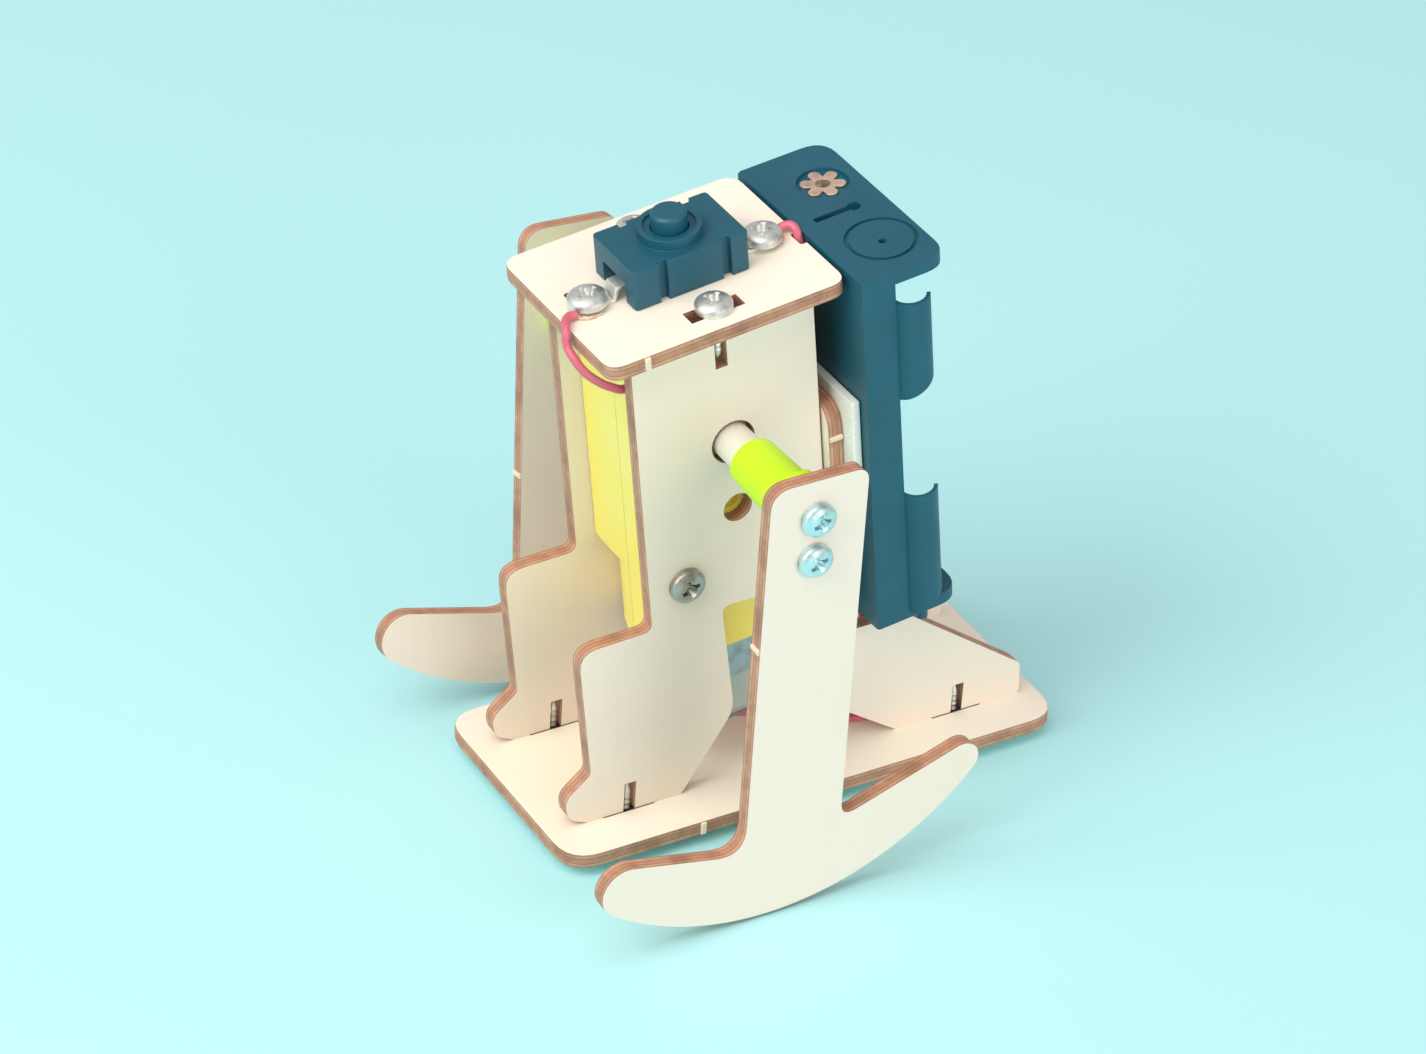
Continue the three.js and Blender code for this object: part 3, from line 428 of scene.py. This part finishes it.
def even_out(bm_mesh):
    """Splits flat faces into even triangles, so that no seam in them runs close by a corner."""
    bmesh.ops.triangulate(bm_mesh, faces=bm_mesh.faces, ngon_method="BEAUTY")
    seams = [e for e in bm_mesh.edges if len(e.link_faces) == 2 and e.calc_face_angle(0) < SEAM]
    bmesh.ops.beautify_fill(bm_mesh, faces=bm_mesh.faces, edges=seams, method="ANGLE")


def solid_of(node):
    """The node's own solid, with its vertices merged and its flat faces whole again."""
    made = bmesh.new()
    made.from_mesh(frame["nodes"][node].data)
    bmesh.ops.remove_doubles(made, verts=made.verts, dist=0.002 * MM)
    merge_flat(made)
    return made


def ease_edges(bm_mesh, width, segments=2, chosen=None):
    """Rounds the sharp edges, or those of them that are chosen."""
    sharp = [e for e in bm_mesh.edges if len(e.link_faces) == 2 and e.calc_face_angle(0) > SHARP]
    if chosen:
        sharp = [e for e in sharp if chosen(e)]
    bmesh.ops.bevel(
        bm_mesh,
        geom=sharp,
        offset=width * MM,
        segments=segments,
        profile=0.5,
        affect="EDGES",
        clamp_overlap=True,
    )


def refined(node, material, width, chosen=None):
    """A finished piece from the node's solid, its edges eased by width millimetres."""
    made = solid_of(node)
    even_out(made)
    ease_edges(made, width, chosen=chosen)
    merge_flat(made)
    bmesh.ops.triangulate(made, faces=[f for f in made.faces if len(f.verts) > 4])
    piece = new_object(node + "_finished", made, material)
    weighted = piece.modifiers.new("normals", "WEIGHTED_NORMAL")
    weighted.keep_sharp = True
    return stand_for(piece, node)


def lathe(profile, segments):
    """A mesh turned round Z from (radius, z) in millimetres, closed where the radius is 0."""
    made = bmesh.new()
    turns = [2 * math.pi * i / segments for i in range(segments)]
    rings = []
    for radius, height in profile:
        rim = radius * MM
        angles = turns if radius else turns[:1]
        rings.append(
            [made.verts.new((rim * math.cos(a), rim * math.sin(a), height * MM)) for a in angles]
        )
    for low, high in zip(rings, rings[1:]):
        for i in range(segments):
            j = (i + 1) % segments
            below = [low[k % len(low)] for k in (i, j)]
            above = [high[k % len(high)] for k in (j, i)]
            corners = list(dict.fromkeys(below + above))
            if len(corners) > 2:
                made.faces.new(corners)
    return made


def final_mesh(shown):
    """The object's mesh with its modifiers, or its curve's thickness, applied."""
    bpy.context.view_layer.update()
    evaluated = shown.evaluated_get(bpy.context.evaluated_depsgraph_get())
    return bpy.data.meshes.new_from_object(evaluated)


def cut_from(piece, cutter):
    """Subtracts the cutter from the piece and removes the cutter."""
    boolean = piece.modifiers.new("cut", "BOOLEAN")
    boolean.operation = "DIFFERENCE"
    boolean.solver = "EXACT"
    boolean.use_self = True
    boolean.object = cutter
    result = final_mesh(piece)
    piece.modifiers.remove(boolean)
    piece.data = result
    bpy.data.objects.remove(cutter)


# ---- Torso frame ----
torso_up = flat_normal("deck_plate", Z)
torso_back = torso_up.cross(X)
shaft_low, shaft_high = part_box("output_shaft")
shaft_centre = (shaft_low + shaft_high) / 2
shaft_centre.x = 0
torso = Matrix.Translation(shaft_centre) @ Matrix((X, torso_back, torso_up)).transposed().to_4x4()


# ---- Plywood ----
def board(node, towards, grain, faces=UPRIGHT_SHADED_VENEER):
    """A plywood board whose grain runs that way, eased where its faces meet its edges."""
    normal = flat_normal(node, towards)
    low, high = extent(node, normal)
    material = plywood("plywood_" + node, normal, low, high, grain, faces)

    def rim(edge):
        return any(abs(f.normal.dot(normal)) > 0.9 for f in edge.link_faces)

    refined(node, material, BOARD_EASE, chosen=rim)


def make_boards():
    board("base_plate", Z, Y, LEVEL_LIT_VENEER)
    board("deck_plate", Z, torso_back, LEVEL_LIT_VENEER)
    board("rear_plate", Y, torso_up)
    for side in ("left", "right"):
        board("side_panel_" + side, X, torso_up)
        board("leg_" + side, X, Z)


# ---- Break tabs ----
TAB_LENGTH, TAB_PROUD, TAB_INSET = 0.95, 0.32, 0.12
SNAPPED_SHARE = 0.72  # of the tab's length, at the snapped end
SCREWS_TO_FRONT_EDGE = 7.1  # in each leg


def break_tab(board_node, place, outward, along_edge, across):
    """The pale stub of a bridge to the sheet, snapped off just proud of the board's edge."""
    made = bmesh.new()
    bmesh.ops.create_cube(made, size=1)
    size = Vector((TAB_LENGTH, 2 * TAB_PROUD, THICKNESS - 2 * TAB_INSET)) * MM
    turn = Matrix((along_edge, outward, across)).transposed()
    for v in made.verts:
        corner = Vector((v.co.x * size.x, v.co.y * size.y, v.co.z * size.z))
        if v.co.y > 0:  # the snapped end is narrower and uneven
            corner.x *= SNAPPED_SHARE
            corner.y += (0.12 * v.co.x + 0.10 * v.co.z) * MM
        v.co = place + turn @ corner
    bmesh.ops.subdivide_edges(made, edges=made.edges, cuts=2, use_grid_fill=True)
    ease_edges(made, 0.06, segments=1)
    tab = new_object("break_tab_" + board_node, made, snapped_wood)
    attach(tab, body_of_node(board_node))


def leg_tab(side, towards, height):
    """A tab on a leg's front edge, at a height from the middle between the leg's two screws."""
    node = "leg_" + side
    boxes = (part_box(f"leg_screw_{side}_{level}") for level in ("upper", "lower"))
    upper, lower = (sum(box, Vector()) / 2 for box in boxes)
    out = flat_normal(node, towards)
    up = (upper - lower).normalized()
    ahead = out.cross(up) if side == "left" else up.cross(out)
    screws = (upper + lower) / 2
    depth = extent(node, out)[1] - THICKNESS / 2 * MM - screws.dot(out)
    place = screws + (ahead * SCREWS_TO_FRONT_EDGE + up * height) * MM + out * depth
    break_tab(node, place, ahead, up, out)


def make_break_tabs():
    middle = THICKNESS / 2
    deck_edge = torso @ (Vector((15, -13.4, DECK_TOP - middle)) * MM)
    break_tab("deck_plate", deck_edge, X, torso_back, torso_up)
    rear_edge = torso @ (Vector((13.3, 14.7, -4.7)) * MM)
    break_tab("rear_plate", rear_edge, X, torso_up, torso_back)
    base_edge = Vector((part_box("base_plate")[1].x, -18.9 * MM, middle * MM))
    break_tab("base_plate", base_edge, X, Y, Z)
    leg_tab("left", X, -16.3)
    leg_tab("right", -X, -28)


# ---- Screws ----
HEAD_RADIUS, HEAD_HEIGHT = 2.6, 1.8
SHOULDER_HEIGHT, DOME_POWER = 0.42 * HEAD_HEIGHT, 0.8  # a lower power makes a fuller dome
SHANK_RADIUS, CORE_RADIUS = 0.72, 0.58
THREAD_PITCH, TIP_LENGTH = 0.85, 1.2
RECESS_DEPTH, CONE_DEPTH = 1.15, 1.4
HEAD_SCALES = {"terminal": 1.06, "leg": 0.95}  # across, by the kind of screw


def screw_profile(length):
    """A pan head over a threaded shank that ends in a point, as (radius, z) from the tip up."""
    profile = [(0, -length), (0.25, -length + 0.25), (SHANK_RADIUS - 0.12, -length + TIP_LENGTH)]
    threads = int((length - 1.6) / THREAD_PITCH)
    for i in range(threads):
        start = -length + TIP_LENGTH + i * THREAD_PITCH
        crest = SHANK_RADIUS, start + 0.45
        profile += [(CORE_RADIUS, start + 0.2), crest, (CORE_RADIUS, start + 0.7)]
    profile += [(SHANK_RADIUS - 0.1, -0.02), (HEAD_RADIUS - 0.12, 0.0), (HEAD_RADIUS, 0.14)]
    profile.append((HEAD_RADIUS, SHOULDER_HEIGHT))
    steps = 9
    for i in range(1, steps):
        turn = math.pi / 2 * i / steps
        rise = (HEAD_HEIGHT - SHOULDER_HEIGHT) * math.sin(turn)
        profile.append((HEAD_RADIUS * math.cos(turn) ** DOME_POWER, SHOULDER_HEIGHT + rise))
    profile.append((0, HEAD_HEIGHT))
    return profile


def recess_cutter():
    """Two crossed wedges that narrow downwards."""
    made = bmesh.new()
    top, bottom = HEAD_HEIGHT + 0.2, HEAD_HEIGHT - RECESS_DEPTH
    for turn in (0, math.pi / 2):
        wedge = bmesh.ops.create_cube(made, size=1)["verts"]
        for v in wedge:
            reach, half, height = (1.62, 0.36, top) if v.co.z > 0 else (0.75, 0.22, bottom)
            corner = Vector((math.copysign(reach, v.co.x), math.copysign(half, v.co.y), height))
            v.co = Matrix.Rotation(turn, 3, "Z") @ corner * MM
    return new_object("recess", made, steel)


def cone_cutter():
    """The cone in the middle of the cross."""
    top = HEAD_HEIGHT + 0.3
    tip, rim = HEAD_HEIGHT - CONE_DEPTH, HEAD_HEIGHT - CONE_DEPTH / 2
    profile = [(0, tip), (0.7, rim), (0.95, top), (0, top)]
    return new_object("recess_cone", lathe(profile, segments=20), steel)


def screw_mesh(length, finish):
    """A whole screw with a cross recess, its head's underside at the origin."""
    turned = lathe(screw_profile(length), segments=48)
    template = new_object("screw", turned, steel, smooth_angle=50)
    cut_from(template, recess_cutter())
    cut_from(template, cone_cutter())
    mesh = template.data
    mesh.set_sharp_from_angle(angle=math.radians(38))
    mesh.materials.clear()
    mesh.materials.append(finish)
    bpy.data.objects.remove(template)
    return mesh


def head_seat(node, direction):
    """The place under a screw's head, on the screw's own axis."""
    side = direction.orthogonal().normalized()
    other = direction.cross(side)
    centre = Vector()
    for axis in (side, other):
        low, high = extent(node, axis)
        centre += axis * (low + high) / 2
    return centre + direction * (extent(node, direction)[1] - HEAD_HEIGHT * MM)


def place_screw(node, direction, mesh, turn, head_scale):
    upright = direction.to_track_quat("Z", "Y").to_matrix().to_4x4()
    turned = upright @ Matrix.Rotation(math.radians(turn), 4, "Z")
    scaled = Matrix.Diagonal((head_scale, head_scale, 1, 1))
    piece = bpy.data.objects.new(node + "_finished", mesh)
    piece.matrix_world = Matrix.Translation(head_seat(node, direction)) @ turned @ scaled
    bpy.context.scene.collection.objects.link(piece)
    stand_for(piece, node)


def make_screws():
    """Each screw along its own direction, its recess turned by its own angle."""
    meshes = {}
    leg_out = {"left": flat_normal("leg_left", X), "right": flat_normal("leg_right", -X)}
    out = {"left": X, "right": -X}
    placed = [("terminal_screw_front", torso_up, 20), ("terminal_screw_rear", torso_up, 50)]
    for i, side in enumerate(("left", "right")):
        placed.append((f"deck_screw_{side}", torso_up, 35 + 20 * i))
        for j, end in enumerate(("front", "rear")):
            placed.append((f"base_screw_{side}_{end}", -Z, 30 * i + 50 * j))
            placed.append((f"motor_screw_{side}_{end}", out[side], 25 + 35 * j + 10 * i))
        for j, level in enumerate(("upper", "lower")):
            placed.append((f"leg_screw_{side}_{level}", leg_out[side], 20 + 8 * j))
    for node, direction, turn in placed:
        low, high = extent(node, direction)
        length = round((high - low) / MM - HEAD_HEIGHT, 1)
        kind = node.split("_")[0]
        # The motor screws take the steel painted darker, a painted shade.
        finish = {"leg": zinc, "motor": shaded_screw_steel}.get(kind, steel)
        if (length, finish) not in meshes:
            meshes[length, finish] = screw_mesh(length, finish)
        place_screw(node, direction, meshes[length, finish], turn, HEAD_SCALES.get(kind, 1.0))


# ---- Leads ----
WIRE_RADIUS = 0.6
LEADS = {
    "lead_switch_motor": [
        (2.4, -16.95, 22.15), (2.5, -18.2, 22.3), (4.8, -19.75, 21.9), (5.5, -20.1, 20.2),
        (7.2, -20, 19), (8.4, -19.4, 17.6), (9, -18, 15.9), (9, -16.2, 14.2),
        (8.5, -13.6, 12.5), (7.8, -11, 12.7), (6.6, -6, 13.2), (5.7, 1, 13.7),
        (5.7, 7, 13.7), (5.8, 11, 12.6), (5.8, 12.4, 9.5), (5.8, 12.4, -2),
        (5.8, 12.4, -16), (5.8, 12.4, -30), (5.7, 12.3, -40), (4.8, 11.4, -46),
        (2.9, 8.9, -50.4), (0.9, 6.4, -51.6),
    ],
    "lead_switch_battery": [
        (0.6, 14.75, 22.15), (0.7, 15.7, 22.4), (1.3, 16.4, 22.5), (2.1, 16.6, 22.1),
        (2.6, 16.6, 21.2), (3, 16.6, 19.6), (3.2, 16.2, 17.4), (3.2, 15.3, 14),
        (2.9, 14.2, 10), (2.3, 13, 6), (1.8, 12.4, 1), (1.6, 12.4, -10),
        (1.4, 12.4, -24), (1, 12.4, -36), (0, 13.4, -42), (-2.2, 16.2, -43.6),
        (-4.6, 18.6, -41.6), (-5.8, 20, -38.6),
    ],
    "lead_battery_motor": [
        (8.2, 19.9, -38.4), (8, 21, -43), (8.3, 23.6, -50), (8.6, 24.6, -55.5),
        (8.5, 22.6, -58.9), (7.9, 18.6, -59.2), (5.6, 14, -58.4), (3, 8.8, -57),
        (1.2, 2.5, -55.4), (0.5, -2.6, -54), (0.3, -5.6, -52.9),
    ],
}


def tube(name, lines, radius, material, resolution=8):
    """Round tubes in one mesh, each along a line of points in the torso's frame, in millimetres."""
    curve = bpy.data.curves.new(name, "CURVE")
    curve.dimensions = "3D"
    curve.bevel_depth = radius * MM
    curve.bevel_resolution = 5
    curve.resolution_u = resolution
    curve.use_fill_caps = True
    for line in lines:
        spline = curve.splines.new("BEZIER")
        spline.bezier_points.add(len(line) - 1)
        for knot, point in zip(spline.bezier_points, line):
            knot.co = torso @ (Vector(point) * MM)
            knot.handle_left_type = knot.handle_right_type = "AUTO"
    source = bpy.data.objects.new(name, curve)
    bpy.context.scene.collection.objects.link(source)
    made = bmesh.new()
    made.from_mesh(final_mesh(source))
    bpy.data.objects.remove(source)
    bmesh.ops.remove_doubles(made, verts=made.verts, dist=0.001 * MM)
    return new_object(name, made, material, smooth_angle=50)


def make_leads():
    for node, route in LEADS.items():
        stand_for(tube(node + "_finished", [route], WIRE_RADIUS, insulation), node)


STRAND_RADIUS, STRAND_GAP = 0.14, 0.2
STRAND_REACH = 2.72  # from the screw's axis to the innermost strand
DECK_TOP = 21.45


def strands(name, centre, wire_end, turns):
    """Bare copper strands that leave the insulation and hook round a clamping screw."""
    lines = []
    for i, (first, last) in enumerate(turns):
        radius = STRAND_REACH + STRAND_GAP * i
        line = [tuple(Vector(wire_end) + Vector((0.12 * i - 0.2, 0.1, 0.1 * (i % 2) - 0.2)))]
        steps = 5
        for step in range(steps + 1):
            angle = math.radians(first + (last - first) * step / steps)
            height = DECK_TOP + STRAND_RADIUS + 0.04 + 0.10 * ((i + step) % 2)
            across, along_y = radius * math.cos(angle), radius * math.sin(angle)
            line.append((centre[0] + across, centre[1] + along_y, height))
        lines.append(line)
    piece = tube(name, lines, STRAND_RADIUS, copper, resolution=6)
    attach(piece, body_of_node("deck_plate"))


def make_strands():
    strands("strands_front", (0.8, -14.3), (2.3, -16.75, 22.1), [(-50, 12), (-54, -8), (-58, -26)])
    strands("strands_rear", (1.3, 11.9), (0.6, 14.95, 22.1), [(96, 52), (100, 64)])


def torso_box(node):
    """The node's lowest and highest corners in the torso's frame, in millimetres."""
    inverse = torso.inverted()
    places = [inverse @ v / MM for v in cad_vertices(node)]
    return [Vector(limit(p[i] for p in places) for i in range(3)) for limit in (min, max)]


def smooth_spring(node, wire, turns, narrowing=0.0, hangs=False):
    """A smooth coil in place of the faceted one, narrowing away from the end that it sits on."""
    low, high = torso_box(node)
    middle = (low + high) / 2
    wide = (high.x - low.x) / 2 - wire
    seat, tip = (high.z - wire, low.z + wire) if hangs else (low.z + wire, high.z - wire)
    steps = 16 * turns
    line = []
    for i in range(steps + 1):
        share = i / steps
        angle = 2 * math.pi * turns * share
        radius = wide * (1 - narrowing * share)
        line.append(
            (
                middle.x + radius * math.cos(angle),
                middle.y + radius * math.sin(angle),
                seat + (tip - seat) * share,
            )
        )
    return stand_for(tube(node + "_finished", [line], wire, steel, resolution=3), node)


def make_springs():
    """The battery springs, and the switch's own, which gets a mesh of its own."""
    smooth_spring("battery_spring_top", 0.35, 4, narrowing=0.5, hangs=True)
    smooth_spring("battery_spring_bottom", 0.35, 4, narrowing=0.5)
    spring = smooth_spring("switch_spring", 0.22, 3)
    low, high = torso_box("switch_spring")
    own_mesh(spring)


# ---- Materials in use ----
black = moulded("black_plastic", (0.006, 0.100, 0.155), (0.005, 0.088, 0.138), 0.44)
yellow = moulded("yellow_plastic", (0.98, 0.82, 0.19), (0.96, 0.79, 0.15), 0.42)
white = moulded("white_plastic", (0.84, 0.82, 0.70), (0.80, 0.78, 0.66), 0.40)
insulation = moulded("red_insulation", (0.68, 0.15, 0.21), (0.62, 0.12, 0.17), 0.32, 1800.0, 0.06)
steel = metal("steel", (0.82, 0.84, 0.81), 0.48)
# Steel painted darker for the motor screws: a painted dark reflection of the shaded arch that they
# sit in.
shaded_screw_steel = metal("shaded_screw_steel", (0.50, 0.47, 0.43), 0.36)
zinc = metal("blue_zinc", (0.66, 0.85, 0.87), 0.38)
tinned = metal("tinned", (0.95, 0.95, 0.92), 0.55)
motor_steel = metal("motor_steel", (0.60, 0.63, 0.66), 0.34)
copper = metal("copper", (0.97, 0.75, 0.60), 0.46)
ferrite = moulded("ferrite", (0.06, 0.06, 0.065), (0.045, 0.045, 0.05), 0.7)
lime = lime_material()
foam = foam_material()
clear = clear_material()
snapped_wood = moulded("snapped_wood", (0.92, 0.82, 0.66), (0.80, 0.64, 0.45), 0.75, 900.0, 0.3)

FINISH = {
    "black_plastic": black,
    "yellow_plastic": yellow,
    "white_plastic": white,
    "red_insulation": insulation,
    "steel": steel,
    "motor_steel": motor_steel,
    "copper": copper,
    "ferrite": ferrite,
    "lime_plastic": lime,
    "foam": foam,
    "clear_plastic": clear,
}
EASED = {  # how far each piece's sharp edges are eased
    "battery_holder": 0.16,
    "switch_body": 0.16,
    "switch_button": 0.2,
    "gearbox_shell_left": 0.25,
    "gearbox_shell_right": 0.25,
    "foam_tape": 0.2,
    "motor_can": 0.2,
    "motor_end_cap": 0.2,
    "motor_strap": 0.08,
    "hub_left": 0.25,
    "hub_right": 0.25,
    "output_shaft": 0.06,
    "battery_rivet": 0.05,
    "battery_lug_left": 0.05,
    "battery_lug_right": 0.05,
    "battery_contact_top": 0.05,
    "battery_contact_bottom": 0.05,
    "motor_terminal_front": 0.04,
    "motor_terminal_rear": 0.04,
    "switch_terminal_front": 0.06,
    "switch_terminal_rear": 0.06,
}


def make_moulded_pieces():
    for node, width in EASED.items():
        soldered = node.startswith(("switch_terminal", "battery_lug"))
        piece = refined(node, tinned if soldered else FINISH[slot_of_node(node)], width)


def finish_inner_nodes():
    """The sealed inner pieces keep their CAD meshes and get real materials."""
    for name, shown in frame["nodes"].items():
        if not shown.hide_render:
            shown.data.materials.clear()
            shown.data.materials.append(FINISH[slot_of_node(name)])


def make_floor():
    made = bmesh.new()
    bmesh.ops.create_grid(made, x_segments=1, y_segments=1, size=3.0)
    floor = new_object("floor", made, floor_material())
    floor.location.z = cad_box[0].z - 0.02 * MM  # just clear of the lowest foot


make_camera()
make_lights()
make_floor()
make_leads()
make_strands()
make_boards()
make_break_tabs()
make_screws()
make_springs()
make_moulded_pieces()
finish_inner_nodes()
